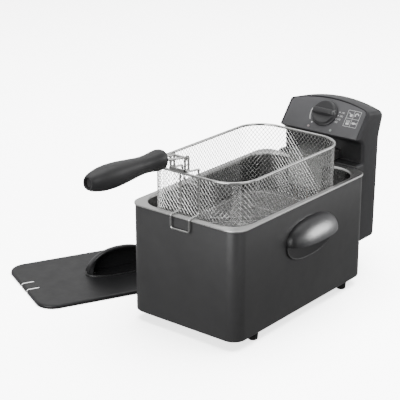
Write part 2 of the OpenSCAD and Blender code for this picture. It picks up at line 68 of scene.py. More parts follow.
# ---------------------------------------------------------------- camera
def make_camera():
    """Camera in front of the fryer, to its right and above, with its roll level."""
    azimuth, elevation = math.radians(38.92), math.radians(20.24)
    back = Vector((math.sin(azimuth) * math.cos(elevation), -math.cos(azimuth) * math.cos(elevation),
                   math.sin(elevation)))
    right = Vector((math.cos(azimuth), math.sin(azimuth), 0))
    up = back.cross(right)
    data = bpy.data.cameras.new("camera")
    data.sensor_width = 36
    data.lens = 119.0
    data.clip_start = 0.05
    camera = bpy.data.objects.new("camera", data)
    bpy.context.scene.collection.objects.link(camera)
    spot = at(1123.5, -1516.9, 860.4)
    camera.matrix_world = Matrix(((right.x, up.x, back.x, spot.x), (right.y, up.y, back.y, spot.y),
                                  (right.z, up.z, back.z, spot.z), (0, 0, 0, 1)))
    bpy.context.scene.camera = camera


make_camera()


# ---------------------------------------------------------------- materials
def new_material(name, color, roughness, metallic=0.0, specular=0.5, coat=0.0, coat_roughness=0.1):
    mat = bpy.data.materials.new(name)
    mat.use_nodes = True
    shader = mat.node_tree.nodes["Principled BSDF"]
    shader.inputs["Base Color"].default_value = (*color, 1)
    shader.inputs["Roughness"].default_value = roughness
    shader.inputs["Metallic"].default_value = metallic
    shader.inputs["Specular IOR Level"].default_value = specular
    shader.inputs["Coat Weight"].default_value = coat
    shader.inputs["Coat Roughness"].default_value = coat_roughness
    return mat


def add_node(mat, kind, **inputs):
    """New shader node, with its inputs set by name."""
    node = mat.node_tree.nodes.new(kind)
    for key, value in inputs.items():
        node.inputs[key.replace("_", " ")].default_value = value
    return node


def noise(mat, scale, detail=4.0, stretch=None):
    """Noise texture in object space, in features per metre; stretch scales it along each axis."""
    links = mat.node_tree.links
    coords = add_node(mat, "ShaderNodeTexCoord")
    texture = add_node(mat, "ShaderNodeTexNoise", Scale=scale, Detail=detail, Roughness=0.6)
    source = coords.outputs["Object"]
    if stretch:
        mapping = add_node(mat, "ShaderNodeMapping")
        mapping.inputs["Scale"].default_value = stretch
        links.new(source, mapping.inputs["Vector"])
        source = mapping.outputs["Vector"]
    links.new(source, texture.inputs["Vector"])
    return texture


def spread(mat, texture, low, high):
    """Turns a texture's middle range into values from low to high."""
    node = add_node(mat, "ShaderNodeMapRange")
    node.inputs["From Min"].default_value = 0.3
    node.inputs["From Max"].default_value = 0.7
    node.inputs["To Min"].default_value = low
    node.inputs["To Max"].default_value = high
    mat.node_tree.links.new(texture.outputs["Fac"], node.inputs["Value"])
    return node.outputs["Result"]


def vary_color(mat, texture, dark, light):
    ramp = add_node(mat, "ShaderNodeValToRGB")
    ramp.color_ramp.elements[0].position = 0.3
    ramp.color_ramp.elements[1].position = 0.7
    ramp.color_ramp.elements[0].color = (*dark, 1)
    ramp.color_ramp.elements[1].color = (*light, 1)
    shader = mat.node_tree.nodes["Principled BSDF"]
    mat.node_tree.links.new(texture.outputs["Fac"], ramp.inputs["Fac"])
    mat.node_tree.links.new(ramp.outputs["Color"], shader.inputs["Base Color"])


def vary_roughness(mat, texture, low, high):
    shader = mat.node_tree.nodes["Principled BSDF"]
    mat.node_tree.links.new(spread(mat, texture, low, high), shader.inputs["Roughness"])


def add_bump(mat, texture, depth_mm, strength=0.5):
    bump = add_node(mat, "ShaderNodeBump", Strength=strength, Distance=depth_mm * MM)
    shader = mat.node_tree.nodes["Principled BSDF"]
    mat.node_tree.links.new(texture.outputs["Fac"], bump.inputs["Height"])
    mat.node_tree.links.new(bump.outputs["Normal"], shader.inputs["Normal"])


def scaled(color, factor):
    return tuple(min(1, c * factor) for c in color)


def painted_steel(name, color):
    """Satin powder paint: very fine orange peel and slight gloss change."""
    mat = new_material(name, color, 0.42)
    vary_color(mat, noise(mat, 18), scaled(color, 0.92), scaled(color, 1.08))
    vary_roughness(mat, noise(mat, 60), 0.38, 0.47)
    add_bump(mat, noise(mat, 2200, 2), 0.05, 0.25)
    return mat


def moulded_plastic(name, color, low, high, grain=1500):
    """Moulded plastic with a fine spark-eroded grain and roughness from low to high."""
    mat = new_material(name, color, (low + high) / 2)
    vary_color(mat, noise(mat, 25), scaled(color, 0.9), scaled(color, 1.1))
    vary_roughness(mat, noise(mat, 90), low, high)
    add_bump(mat, noise(mat, grain, 3), 0.05, 0.35)
    return mat


def brushed_steel(name, color, low, high, stretch):
    """Brushed steel; the brush marks run along the axis whose stretch is smallest."""
    mat = new_material(name, color, (low + high) / 2, metallic=1)
    grain = noise(mat, 300, 3, stretch)
    vary_color(mat, grain, scaled(color, 0.94), scaled(color, 1.04))
    vary_roughness(mat, grain, low, high)
    add_bump(mat, grain, 0.02, 0.3)
    return mat


def plated_wire():
    """Bright plating on the basket's wires."""
    color = (0.72, 0.72, 0.71)
    mat = new_material("chrome_wire", color, 0.2, metallic=1)
    vary_color(mat, noise(mat, 120), scaled(color, 0.9), scaled(color, 1.1))
    vary_roughness(mat, noise(mat, 260), 0.14, 0.28)
    return mat


def heated_steel():
    """Sheathed heating tube, stained by heat and oil."""
    mat = new_material("element_steel", (0.3, 0.27, 0.24), 0.4, metallic=1)
    vary_color(mat, noise(mat, 40), (0.16, 0.13, 0.11), (0.36, 0.31, 0.26))
    vary_roughness(mat, noise(mat, 150), 0.3, 0.5)
    add_bump(mat, noise(mat, 900), 0.03, 0.4)
    return mat


def lens(name, color):
    """Glossy lens of a lamp that is off."""
    mat = new_material(name, color, 0.12, specular=0.6, coat=0.6, coat_roughness=0.05)
    vary_color(mat, noise(mat, 400), scaled(color, 0.85), scaled(color, 1.15))
    return mat


def printed_ink():
    mat = new_material("panel_print", (0.75, 0.75, 0.75), 0.5)
    vary_color(mat, noise(mat, 600), (0.66, 0.66, 0.66), (0.8, 0.8, 0.8))
    return mat


MATERIALS = {
    "painted_steel": painted_steel("painted_steel", (0.044, 0.044, 0.045)),
    # Darker copy of the housing's paint for the lid: painted shade on its upward face.
    "lid_paint_shaded": painted_steel("lid_paint_shaded", (0.013, 0.013, 0.014)),
    "stainless_pan": brushed_steel("stainless_pan", (0.66, 0.66, 0.65), 0.26, 0.38, (1, 0.06, 1)),
    # Darker copy of the pan's steel for its inside: painted shade in the pan's hollow.
    "pan_inside_shade": brushed_steel("pan_inside_shade", (0.2, 0.2, 0.2), 0.24, 0.36, (1, 0.06, 1)),
    "chrome_wire": plated_wire(),
    "plain_steel": brushed_steel("plain_steel", (0.58, 0.58, 0.57), 0.3, 0.42, (0.1, 1, 1)),
    "black_plastic": moulded_plastic("black_plastic", (0.017, 0.017, 0.018), 0.32, 0.42),
    "head_plastic": moulded_plastic("head_plastic", (0.043, 0.043, 0.046), 0.42, 0.52),
    "panel_plastic": moulded_plastic("panel_plastic", (0.105, 0.105, 0.11), 0.4, 0.5),
    "knob_plastic": moulded_plastic("knob_plastic", (0.04, 0.04, 0.042), 0.28, 0.38),
    "grip_plastic": moulded_plastic("grip_plastic", (0.028, 0.028, 0.029), 0.34, 0.44),
    "rubber_black": moulded_plastic("rubber_black", (0.012, 0.012, 0.012), 0.7, 0.85, grain=900),
    "element_steel": heated_steel(),
    "copper_tube": brushed_steel("copper_tube", (0.72, 0.4, 0.25), 0.28, 0.4, (1, 0.2, 1)),
    "lamp_red": lens("lamp_red", (0.42, 0.36, 0.36)),
    "lamp_green": lens("lamp_green", (0.35, 0.40, 0.37)),
    "reset_red": moulded_plastic("reset_red", (0.5, 0.05, 0.04), 0.4, 0.5),
    "ceramic_white": moulded_plastic("ceramic_white", (0.8, 0.78, 0.72), 0.35, 0.5),
    "inner_plastic": moulded_plastic("inner_plastic", (0.05, 0.05, 0.055), 0.45, 0.55),
}
INK = printed_ink()


# ---------------------------------------------------------------- mesh helpers
def add_piece(name, verts, faces, slot, body, replaced=(), smooth=True, angle=40):
    """A mesh piece from fryer millimetres, with its material, body and the CAD nodes it stands for."""
    mesh = bpy.data.meshes.new(name)
    mesh.from_pydata([at(*v) for v in verts], [], faces)
    mesh.validate()
    return finish_piece(name, mesh, slot, body, replaced, smooth, angle)


def face_outwards(mesh):
    """Turns all faces of a closed mesh outwards."""
    fix = bmesh.new()
    fix.from_mesh(mesh)
    bmesh.ops.recalc_face_normals(fix, faces=fix.faces)
    fix.to_mesh(mesh)
    fix.free()


def smooth_shading(mesh, angle):
    """Smooth faces, with edges sharper than the angle, in degrees, kept crisp."""
    mesh.polygons.foreach_set("use_smooth", [True] * len(mesh.polygons))
    mesh.set_sharp_from_angle(angle=math.radians(angle))


def finish_piece(name, mesh, slot, body, replaced=(), smooth=True, angle=40):
    """Makes the mesh an object on its body, with its material and the CAD nodes it stands for."""
    obj = bpy.data.objects.new(name, mesh)
    bpy.context.scene.collection.objects.link(obj)
    face_outwards(mesh)
    if smooth:
        smooth_shading(mesh, angle)
    if slot == "ink":
        obj.data.materials.append(INK)
    else:
        obj.data.materials.append(MATERIALS[slot])
    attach(obj, body)
    if replaced:
        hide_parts(*replaced)
    return obj


def apply_modifiers(obj):
    """Bakes the modifiers into the mesh, so that later steps see the final shape."""
    bpy.context.view_layer.update()
    graph = bpy.context.evaluated_depsgraph_get()
    mesh = bpy.data.meshes.new_from_object(obj.evaluated_get(graph))
    obj.modifiers.clear()
    obj.data = mesh


def thicken(obj, thickness):
    """Turns a sheet into a closed skin, with the thickness added behind its faces."""
    solid = obj.modifiers.new("thickness", "SOLIDIFY")
    solid.thickness = thickness * MM
    solid.offset = -1
    solid.use_even_offset = True
    apply_modifiers(obj)


def rounded_loop(w, l, r, z, steps=10, cx=0.0, cy=0.0):
    """Points round a rectangle with round corners, w across X and l along Y."""
    r = max(r, 0.05)
    points = []
    for k, (sx, sy) in enumerate(((1, 1), (-1, 1), (-1, -1), (1, -1))):
        for i in range(steps + 1):
            a = math.radians(90 * (k + i / steps))
            points.append((cx + sx * (w / 2 - r) + r * math.cos(a),
                           cy + sy * (l / 2 - r) + r * math.sin(a), z))
    return points


def loft(loops, closed=False, cap_first=False, cap_last=False):
    """Verts and faces of a skin through loops that have the same number of points."""
    n = len(loops[0])
    verts = [p for loop in loops for p in loop]
    faces = []
    for k in range(len(loops) - (0 if closed else 1)):
        a, b = k * n, ((k + 1) % len(loops)) * n
        for i in range(n):
            j = (i + 1) % n
            faces.append((a + i, a + j, b + j, b + i))
    if cap_first:
        faces.append(tuple(range(n))[::-1])
    if cap_last:
        faces.append(tuple(range((len(loops) - 1) * n, len(loops) * n)))
    return verts, faces


def arc(cx, cy, r, a0, a1, steps=6):
    """Points on an arc in a plane, from a0 to a1 degrees."""
    return [(cx + r * math.cos(math.radians(a0 + (a1 - a0) * i / steps)),
             cy + r * math.sin(math.radians(a0 + (a1 - a0) * i / steps))) for i in range(steps + 1)]


def tube(path, radius, sides):
    """Verts and faces of a round capped tube along a path of millimetre points."""
    path = [Vector(p) for p in path]
    count = len(path)
    loops = []
    normal = None
    for i, p in enumerate(path):
        before, after = path[max(i - 1, 0)], path[min(i + 1, count - 1)]
        along = (after - before).normalized()
        if normal is None:
            normal = along.orthogonal().normalized()
        normal = (normal - along * normal.dot(along)).normalized()
        side = along.cross(normal)
        loops.append([tuple(p + radius * (math.cos(a) * normal + math.sin(a) * side))
                      for a in (2 * math.pi * s / sides for s in range(sides))])
    return loft(loops, cap_first=True, cap_last=True)


def merged(parts):
    """Several (verts, faces) as one."""
    verts, faces = [], []
    for v, f in parts:
        base = len(verts)
        verts += v
        faces += [tuple(i + base for i in face) for face in f]
    return verts, faces


def filleted(points):
    """Path through (x, y, z, radius) corners, each rounded by its own radius."""
    steps = 6
    out = []
    for i, (*p, r) in enumerate(points):
        p = Vector(p)
        if i in (0, len(points) - 1) or r <= 0:
            out.append(p)
            continue
        to_last = (Vector(points[i - 1][:3]) - p).normalized()
        to_next = (Vector(points[i + 1][:3]) - p).normalized()
        half = to_last.angle(to_next) / 2
        reach = r / math.tan(half)
        centre = p + (to_last + to_next).normalized() * (r / math.sin(half))
        start, end = p + to_last * reach - centre, p + to_next * reach - centre
        out += [centre + start.slerp(end, k / steps) for k in range(steps + 1)]
    return out


# ---------------------------------------------------------------- housing and pan
def make_housing():
    """Folded sheet housing: round upright corners and a lower edge turned inwards."""
    lo, hi = local_box("housing_shell")
    w, l, r = hi.x - lo.x, hi.y - lo.y, 21
    sheet = 1.0
    turn = 2.2
    fold = [(turn - y, z) for y, z in arc(0, lo.z + turn, turn, 270, 360, 5)]
    profile = [(9, lo.z), *fold, (0, hi.z - 0.5), (0.3, hi.z), (sheet, hi.z), (sheet, lo.z + sheet),
               (9, lo.z + sheet)]
    loops = [rounded_loop(w - 2 * d, l - 2 * d, r - d, z, 12) for d, z in profile]
    verts, faces = loft(loops, closed=True)
    add_piece("housing_sheet", verts, faces, "painted_steel", "housing", ["housing_shell"], angle=50)


def make_pan():
    """Drawn steel pan: turned outer edge, flat flange, soft shoulder and rounded floor."""
    lo, hi = local_box("oil_pan")
    w, l, r = hi.x - lo.x, hi.y - lo.y, 22.5
    ow, ol, orad = 183.0, 314.0, 36.0
    top = hi.z
    lip, shoulder, bottom, edge_drop, sheet = 1.4, 3.5, 14, 2.5, 0.8
    floor = lo.z + sheet
    loops = [rounded_loop(w - 2 * d, l - 2 * d, r - d, z, 12)
             for d, z in [(0, top - edge_drop),
                          *[(lip - y, top - lip + x) for y, x in arc(0, 0, lip, 0, 90, 5)]]]
    for y, x in arc(0, 0, shoulder, 90, 180, 6):
        loops.append(rounded_loop(ow + 2 * (shoulder + y), ol + 2 * (shoulder + y), orad + shoulder + y,
                                  top - shoulder + x, 12))
    for a in range(0, 91, 15):
        d = bottom * (1 - math.cos(math.radians(a)))
        z = floor + bottom * (1 - math.sin(math.radians(a)))
        loops.append(rounded_loop(ow - 2 * d, ol - 2 * d, orad - d, z, 12))
    verts, faces = loft(loops, cap_last=True)
    pan = add_piece("pan_steel", verts, faces, "stainless_pan", "pan", ["oil_pan"], angle=60)
    thicken(pan, sheet)
    smooth_shading(pan.data, 60)
    # Faces below the shoulder take the darker steel: painted shade inside the pan.
    pan.data.materials.append(MATERIALS["pan_inside_shade"])
    for face in pan.data.polygons:
        if face.center.z < (top - shoulder - 0.2) * MM:
            face.material_index = 1
    mark_half, mark_y, mark_r = 18, ol / 2 - 1.2, 0.9
    for z in (112, 76):
        verts, faces = tube([(-mark_half, mark_y, z), (mark_half, mark_y, z)], mark_r, 8)
        add_piece(f"level_mark_{z}", verts, faces, "stainless_pan", "pan")


# ---------------------------------------------------------------- basket
WIRE_PITCH = 6.6
WIRE_RISE = 4.0
WALL_W, WALL_L, WALL_R = 170.6, 269.6, 43.3
WIRE_R = 0.42
WIRE_SIDES = 5
WEAVE = 0.36
END_GAP = 1.2


def along_wall(s, w=WALL_W, l=WALL_L, r=WALL_R):
    """Point and outward direction at length s round the wall, from the middle of its right side."""
    straight_x, straight_y, quarter = w - 2 * r, l - 2 * r, math.pi * r / 2
    s %= 2 * (straight_x + straight_y) + 4 * quarter
    steps = [(straight_y / 2, 0, None), (quarter, 0, (1, 1)),
             (straight_x, 90, None), (quarter, 90, (-1, 1)),
             (straight_y, 180, None), (quarter, 180, (-1, -1)),
             (straight_x, 270, None), (quarter, 270, (1, -1)), (straight_y / 2, 360, None)]
    starts = {0: (w / 2, 0), 2: (w / 2 - r, l / 2), 4: (-w / 2, l / 2 - r), 6: (r - w / 2, -l / 2),
              8: (w / 2, r - l / 2)}
    for k, (length, turn, corner) in enumerate(steps):
        if s <= length or k == len(steps) - 1:
            break
        s -= length
    a = math.radians(turn)
    if corner:
        a += s / r
        return (corner[0] * (w / 2 - r) + r * math.cos(a), corner[1] * (l / 2 - r) + r * math.sin(a),
                math.cos(a), math.sin(a))
    x, y = starts[k]
    return x - s * math.sin(a), y + s * math.cos(a), math.cos(a), math.sin(a)


def wall_length(w=WALL_W, l=WALL_L, r=WALL_R):
    return 2 * (w + l - 4 * r) + 2 * math.pi * r


def make_basket_mesh():
    """Diamond-woven wire: two families of slanting wires that pass over and under each other."""
    lo, hi = local_box("basket_mesh")
    mid_y = (lo.y + hi.y) / 2
    round_it = wall_length()
    count = round(round_it / WIRE_PITCH)
    pitch = round_it / count
    top, floor = hi.z + END_GAP, lo.z + END_GAP
    rows = round((top - floor) / WIRE_RISE)
    step = (top - floor) / rows
    wires = []
    for family in (1, -1):
        for k in range(count):
            path = []
            for i in range(rows + 1):
                x, y, nx, ny = along_wall(k * pitch + family * i * pitch / 2)
                over = WEAVE * family * (1 if i % 2 else -1)
                path.append((x + nx * over, y + ny * over + mid_y, floor + i * step))
            wires.append(tube(path, WIRE_R, WIRE_SIDES))
    verts, faces = merged(wires)
    add_piece("basket_weave", verts, faces, "chrome_wire", "basket", ["basket_mesh"], angle=70)


def inside_wall(x, y, margin):
    """True where the point lies inside the basket's wall by more than the margin."""
    w, l, r = WALL_W / 2 - margin, WALL_L / 2 - margin, WALL_R - margin
    dx, dy = max(abs(x) - (w - r), 0), max(abs(y) - (l - r), 0)
    return math.hypot(dx, dy) <= r


def make_basket_floor():
    """The same diamond weave across the basket's floor."""
    lo, hi = local_box("basket_mesh")
    mid_y = (lo.y + hi.y) / 2
    half = WIRE_PITCH / 2
    reach = int((WALL_W + WALL_L) / WIRE_PITCH)
    wires = []
    for family in (1, -1):
        for k in range(-reach, reach + 1):
            run = []
            for i in range(-2 * reach, 2 * reach + 1):
                x = k * WIRE_PITCH / 2 + i * half
                y = family * (i * half - k * WIRE_PITCH / 2)
                if inside_wall(x, y, 0.3):
                    over = WEAVE * family * (1 if i % 2 else -1)
                    run.append((x, y + mid_y, lo.z + END_GAP + over))
            if len(run) > 2:
                wires.append(tube(run, WIRE_R, WIRE_SIDES))
    verts, faces = merged(wires)
    add_piece("basket_weave_floor", verts, faces, "chrome_wire", "basket", angle=70)


def make_seam_strip():
    """The mesh band's overlap at the front right corner: a second layer of wires."""
    lo, hi = local_box("basket_mesh")
    mid_y = (lo.y + hi.y) / 2
    layer, half_width, slant, weave = 0.8, 8, 30, 0.2
    w, l, r = WALL_W + 2 * layer, WALL_L + 2 * layer, WALL_R + layer
    middle = wall_length(w, l, r) - (l - 2 * r) / 2 - math.pi * r / 4
    top, floor = hi.z + 0.6, lo.z + 2
    rows = int((top - floor) / WIRE_RISE)
    half = WIRE_PITCH / 2
    wires = []
    for family in (1, -1):
        for k in range(-slant, slant + 1):
            run = []
            for i in range(rows + 1):
                off = k * WIRE_PITCH + half + family * i * half
                if abs(off) <= half_width:
                    x, y, nx, ny = along_wall(middle + off, w, l, r)
                    over = weave * family * (1 if i % 2 else -1)
                    run.append((x + nx * over, y + ny * over + mid_y, floor + i * WIRE_RISE))
            if len(run) > 1:
                wires.append(tube(run, WIRE_R, WIRE_SIDES))
    verts, faces = merged(wires)
    add_piece("basket_seam", verts, faces, "chrome_wire", "basket", angle=70)


# ---------------------------------------------------------------- handle
def smooth_value(stops, t):
    """Catmull-Rom value at t through (t, value) stops."""
    for k in range(len(stops) - 1):
        if t <= stops[k + 1][0] or k == len(stops) - 2:
            break
    (t0, v0), (t1, v1) = stops[k], stops[k + 1]
    before, after = stops[max(k - 1, 0)], stops[min(k + 2, len(stops) - 1)]
    u = min(max((t - t0) / (t1 - t0), 0), 1)
    m0 = (v1 - before[1]) / max(t1 - before[0], 1e-6) * (t1 - t0)
    m1 = (after[1] - v0) / max(after[0] - t0, 1e-6) * (t1 - t0)
    return ((2 * u ** 3 - 3 * u ** 2 + 1) * v0 + (u ** 3 - 2 * u ** 2 + u) * m0
            + (3 * u ** 2 - 2 * u ** 3) * v1 + (u ** 3 - u ** 2) * m1)


GRIP_FROM = (0, -207.5, 285.5)
GRIP_RISE = math.radians(1.6)
GRIP_L = 149


def on_grip(x, along, up):
    """Fryer millimetres from the grip's own: across, along from its inner end, and up."""
    c, s = math.cos(GRIP_RISE), math.sin(GRIP_RISE)
    return (GRIP_FROM[0] + x, GRIP_FROM[1] - along * c + up * s, GRIP_FROM[2] + along * s + up * c)


def oval_section(wide, high, power):
    """Points round a superellipse with these half sizes."""
    steps = 36
    points = []
    for i in range(steps):
        a = 2 * math.pi * i / steps
        c, s = math.cos(a), math.sin(a)
        points.append((wide * math.copysign(abs(c) ** (2 / power), c),
                       high * math.copysign(abs(s) ** (2 / power), s)))
    return points


def make_grip():
    """Moulded grip with a waist, a flared inner end and a hollowed tip."""
    high = [(0, 11.0), (3, 13.4), (10, 14.6), (18, 14.2), (32, 12.6), (48, 12.4), (68, 14.2), (90, 16.2),
            (108, 16.9), (124, 16.0), (136, 13.9), (144, 11.6), (148.2, 9.4), (GRIP_L, 8.6)]
    wide = [(t, v * 0.94) for t, v in high]
    loops = []
    power = 2.25
    stations = [0, 0.6, 1.5, 3, 5, 8]
    stations += [12 + 4 * i for i in range(32)]
    stations += [139, 142, 144.5, 146.5, 148, GRIP_L]
    for t in stations:
        w, h = smooth_value(wide, t), smooth_value(high, t)
        loops.append([on_grip(x, t, z) for x, z in oval_section(w, h, power)])
    tip_w, tip_h = smooth_value(wide, GRIP_L), smooth_value(high, GRIP_L)
    for shrink, depth in ((0.8, 0.1), (1.4, 0.6), (1.8, 2.2), (2.2, 4.5)):
        section = oval_section(tip_w - shrink, tip_h - shrink, power)
        loops.append([on_grip(x, GRIP_L - depth, z) for x, z in section])
    verts, faces = loft(loops, cap_first=True, cap_last=True)
    add_piece("grip_body", verts, faces, "grip_plastic", "basket_handle", ["handle_grip"], angle=45)


def make_bracket():
    """Folded bracket on two bent wires: a low front plate and two ears with rounded tops and long slots."""
    lo, hi = local_box("handle_bracket")
    sheet, slot_r, pivot_y, pivot_z, slot_h, ear_w, ear_low = 1.5, 2.05, -171.0, 279.0, 14.3, 11.0, 258.0
    wire, bend, carrier_z, plate_h = 1.5, 4.0, 260, 5
    x = hi.x - wire
    front = lo.y
    parts = []
    for side in (-1, 1):
        outer = [(front + 1, ear_low), (front + ear_w - 1, ear_low), (front + ear_w, ear_low + 1)]
        outer += [(pivot_y + ear_w / 2 * math.cos(a), hi.z - 4 + 4 * math.sin(a))
                  for a in (math.pi * k / 12 for k in range(13))]
        outer.append((front, ear_low + 1))
        hole = [(pivot_y + slot_r * math.cos(a), pivot_z + slot_r * math.sin(a))
                for a in (math.pi * k / 10 for k in range(11))]
        hole += [(pivot_y + slot_r * math.cos(a), pivot_z - slot_h + slot_r * math.sin(a))
                 for a in (math.pi + math.pi * k / 10 for k in range(11))]
        start = side * (x - wire) - (sheet if side > 0 else 0)
        parts.append(ring_plate(outer, hole, start, start + sheet))
    parts.append(box_solid(wire - x, x - wire, front, front + sheet, ear_low, ear_low + plate_h))
    start, rear, low = front + 2, hi.y - wire, lo.z + wire
    path = [(-x, start, carrier_z, 0), (-x, rear, carrier_z, bend), (-x, rear, low, bend),
            (x, rear, low, bend), (x, rear, carrier_z, bend), (x, start, carrier_z, 0)]
    parts.append(tube(filleted(path), wire, 12))
    verts, faces = merged(parts)
    add_piece("bracket_sheet", verts, faces, "chrome_wire", "basket", ["handle_bracket"], angle=35)


def ring_plate(outer, hole, x0, x1):
    """Flat plate with one hole: both outlines are resampled by angle round the hole's middle."""
    cy = sum(p[0] for p in hole) / len(hole)
    cz = sum(p[1] for p in hole) / len(hole)
    count = 64
    rings = []
    for outline in (outer, hole):
        ring = []
        for k in range(count):
            a = 2 * math.pi * (k + 0.5) / count
            d = (math.cos(a), math.sin(a))
            best = None
            for i, (py, pz) in enumerate(outline):
                qy, qz = outline[(i + 1) % len(outline)]
                ey, ez = qy - py, qz - pz
                det = ey * d[1] - ez * d[0]
                if abs(det) < 1e-9:
                    continue
                t = (ey * (pz - cz) - ez * (py - cy)) / det
                u = (d[0] * (pz - cz) - d[1] * (py - cy)) / det
                if t > 0 and -1e-6 <= u <= 1 + 1e-6 and (best is None or t > best):
                    best = t
            ring.append((cy + best * d[0], cz + best * d[1]))
        rings.append(ring)
    loops = [[(x0, y, z) for y, z in rings[0]], [(x1, y, z) for y, z in rings[0]],
             [(x1, y, z) for y, z in rings[1]], [(x0, y, z) for y, z in rings[1]]]
    return loft(loops, closed=True)


# ---------------------------------------------------------------- grips
def side_outline(t, r, half_l, power=2.35):
    """Half height of the grip's oval at distance t from its middle."""
    return r * max(1 - abs(t / half_l) ** power, 0) ** (1 / power)


def make_side_grip(side, node):
    """Oval back plate with a hollow hood over its upper half."""
    name = "left" if side < 0 else "right"
    wall = side * 100.0
    mid_y, mid_z, r, half_l, deep = 11.0, 129.0, 32.0, 61.0, 26.5
    wall_t, end_t, overlap, n, arc_steps = 2.6, 4, 1.006, 40, 14
    ts = [half_l * math.cos(math.pi * i / n) for i in range(n + 1)]
    rim = [(mid_y + t, mid_z + side_outline(t, r, half_l)) for t in ts]
    rim += [(mid_y + t, mid_z - side_outline(t, r, half_l)) for t in ts[-2:0:-1]]
    loops = []
    for out, shrink in ((0, 0), (1.6, 0), (2.3, 0.35), (2.6, 1.1), (2.1, 2.0), (1.9, 3.0)):
        loops.append([(wall + side * out, mid_y + (y - mid_y) * (1 - shrink / half_l),
                       mid_z + (z - mid_z) * (1 - shrink / r)) for y, z in rim])
    verts, faces = loft(loops, cap_first=True, cap_last=True)
    add_piece(f"side_plate_{name}", verts, faces, "black_plastic", "housing", [node], angle=35)
    loops = []
    for t in ts:
        outer = side_outline(t, r, half_l)
        inner = side_outline(t, r - wall_t, half_l - end_t)
        section = [(outer * deep / r * math.sin(a), outer * math.cos(a))
                   for a in (math.pi / 2 * i / arc_steps for i in range(arc_steps + 1))]
        section += [(inner * deep / r * math.sin(a), inner * math.cos(a))
                    for a in (math.pi / 2 * i / arc_steps for i in range(arc_steps, -1, -1))]
        loops.append([(wall + side * max(x, 0.3), mid_y + t * overlap, mid_z + z * overlap)
                      for x, z in section])
    verts, faces = loft(loops, cap_first=True, cap_last=True)
    hood = add_piece(f"side_hood_{name}", verts, faces, "black_plastic", "housing", angle=50)
    weld(hood)


def weld(obj):
    """Joins points that lie on each other where a section shrinks to nothing."""
    near, degenerate = 0.02, 0.001
    fix = bmesh.new()
    fix.from_mesh(obj.data)
    bmesh.ops.remove_doubles(fix, verts=fix.verts, dist=near * MM)
    bmesh.ops.dissolve_degenerate(fix, edges=fix.edges, dist=degenerate * MM)
    bmesh.ops.recalc_face_normals(fix, faces=fix.faces)
    fix.to_mesh(obj.data)
    fix.free()


# ---------------------------------------------------------------- lid
LID_TURN = math.radians(26)
LID_ACROSS = (math.cos(LID_TURN), -math.sin(LID_TURN))
LID_ALONG = (math.sin(LID_TURN), math.cos(LID_TURN))
LID_W, LID_L, LID_R, LID_H = 182, 290, 28, 6
LID_NEAR = (-219, -238)
LID_MID = (LID_NEAR[0] - LID_W / 2 * LID_ACROSS[0], LID_NEAR[1] - LID_W / 2 * LID_ACROSS[1])


def on_lid(x, y, z):
    """Fryer millimetres from the lid's own: across, along from the slotted edge, and up."""
    return (LID_MID[0] + x * LID_ACROSS[0] + y * LID_ALONG[0],
            LID_MID[1] + x * LID_ACROSS[1] + y * LID_ALONG[1], z)


def lid_loop(d, z):
    """The lid's outline moved inwards by d, at height z."""
    loop = rounded_loop(LID_W - 2 * d, LID_L - 2 * d, LID_R - d, 0, 12, 0, LID_L / 2)
    return [on_lid(x, y, z) for x, y, _ in loop]


def cutter(verts, faces):
    """Helper object that cut() takes away again."""
    mesh = bpy.data.meshes.new("cutter")
    mesh.from_pydata([at(*v) for v in verts], [], faces)
    face_outwards(mesh)
    obj = bpy.data.objects.new("cutter", mesh)
    bpy.context.scene.collection.objects.link(obj)
    return obj


def cut(obj, *parts):
    """Takes the closed shapes given as (verts, faces) out of obj."""
    for verts, faces in parts:
        tool = cutter(verts, faces)
        boolean = obj.modifiers.new("cut", "BOOLEAN")
        boolean.operation = "DIFFERENCE"
        boolean.solver = "EXACT"
        boolean.object = tool
        apply_modifiers(obj)
        bpy.data.objects.remove(tool)
    smooth_shading(obj.data, 40)


def make_lid():
    """Pressed lid: rounded top edge turned down, and two slots at one end for the basket's handle."""
    edge_r = 3.2
    outside = [(1.0, 0.0), (0.2, 0.25), (0, 0.8)]
    outside += [(edge_r + x, LID_H - edge_r + z) for x, z in arc(0, 0, edge_r, 180, 90, 6)]
    outside.append((6, LID_H))
    inside = [(6, 5.0), (3.6, 4.9), (1.9, 4.1), (1.1, 2.6), (1.1, 0.3)]
    over = [lid_loop(d, z) for d, z in outside]
    under = [lid_loop(d, z) for d, z in inside]
    verts, faces = merged([loft(over, cap_last=True), loft(under, cap_first=True)])
    n = len(over[0])
    last = (len(over) + len(under) - 1) * n
    faces += [(i, (i + 1) % n, last + (i + 1) % n, last + i) for i in range(n)]
    lid = add_piece("lid_sheet", verts, faces, "painted_steel", "lid", ["lid_plate"], angle=50)
    slots = []
    slot_r, slot_end, past, low, high = 2.25, 19.75, 4, -2, 9
    for slot_x in (-13, 13):
        outline = [(slot_x - slot_r, -past), (slot_x + slot_r, -past)]
        outline += [(slot_x + x, slot_end + y) for x, y in arc(0, 0, slot_r, 0, 180, 8)]
        block = [[on_lid(x, y, z) for x, y in outline] for z in (low, high)]
        slots.append(loft(block, cap_first=True, cap_last=True))
    cut(lid, *slots)
    # The lid takes the darker copy of the paint: painted shade on its upward face.
    lid.data.materials[0] = MATERIALS["lid_paint_shaded"]


